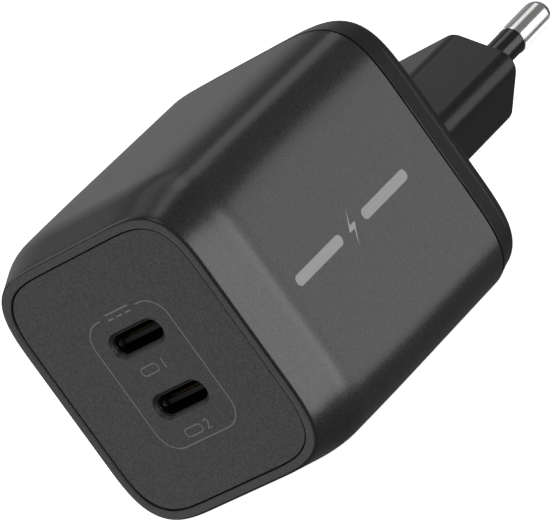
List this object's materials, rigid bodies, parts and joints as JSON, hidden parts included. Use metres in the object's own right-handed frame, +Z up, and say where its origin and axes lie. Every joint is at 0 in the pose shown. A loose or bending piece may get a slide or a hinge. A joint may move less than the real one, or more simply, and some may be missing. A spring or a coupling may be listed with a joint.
{
  "type": "usb wall charger",
  "caption": "Rounded cube wall charger with two oval charging sockets in an inset front plate and a fixed round-pin mains plug behind.",
  "frame": {"origin": "middle of the plug block's end face, half way between the pins", "axes": "+Y along the pins into the wall socket, +Z up with the first socket above the second, +X to the right when looking at the sockets"},
  "size_m": [0.0394, 0.087, 0.0406],
  "materials": {
    "housing_plastic": "fine matte grain",
    "plate_plastic": "very fine matte grain",
    "cover_plastic": "satin",
    "nickel": "polished nickel plating",
    "sleeve_plastic": "gloss",
    "socket_steel": "dark plating, satin",
    "socket_plastic": "satin",
    "board_laminate": "solder mask",
    "ferrite": "sintered, matte",
    "bobbin_resin": "moulded",
    "winding_tape": "polyester tape",
    "capacitor_sleeve": "shrink sleeve",
    "bare_aluminium": "satin",
    "chip_resin": "moulded epoxy",
    "thermistor_resin": "dipped coating",
    "disc_resin": "dipped coating",
    "box_resin": "moulded box",
    "copper_wire": "enamelled",
    "blue_insulation": "wire insulation",
    "brown_insulation": "wire insulation",
    "film": "translucent film"
  },
  "bodies": {
    "root": {"housing_shell": "housing_plastic", "port_plate": "plate_plastic", "rear_cover": "cover_plastic", "pin_left": "nickel", "pin_right": "nickel", "pin_sleeve_left": "sleeve_plastic", "pin_sleeve_right": "sleeve_plastic", "socket_shell_1": "socket_steel", "socket_shell_2": "socket_steel", "socket_tongue_1": "socket_plastic", "socket_tongue_2": "socket_plastic", "port_board": "board_laminate", "input_board": "board_laminate", "main_board": "board_laminate", "transformer_core_lower": "ferrite", "transformer_core_upper": "ferrite", "transformer_bobbin": "bobbin_resin", "transformer_winding": "winding_tape", "bulk_capacitor_1": "capacitor_sleeve", "bulk_capacitor_2": "capacitor_sleeve", "bulk_capacitor_3": "capacitor_sleeve", "output_capacitor_1": "bare_aluminium", "output_capacitor_2": "bare_aluminium", "power_switch": "chip_resin", "output_rectifier": "chip_resin", "port_controller": "chip_resin", "optocoupler": "chip_resin", "bridge_rectifier": "chip_resin", "fuse": "chip_resin", "thermistor": "thermistor_resin", "y_capacitor": "disc_resin", "x_capacitor": "box_resin", "choke_core": "ferrite", "choke_winding_left": "copper_wire", "choke_winding_right": "copper_wire", "output_inductor_1": "ferrite", "output_inductor_2": "ferrite", "lead_left": "blue_insulation", "lead_right": "brown_insulation", "heat_spreader": "bare_aluminium", "insulating_film": "film"}
  },
  "joints": []
}
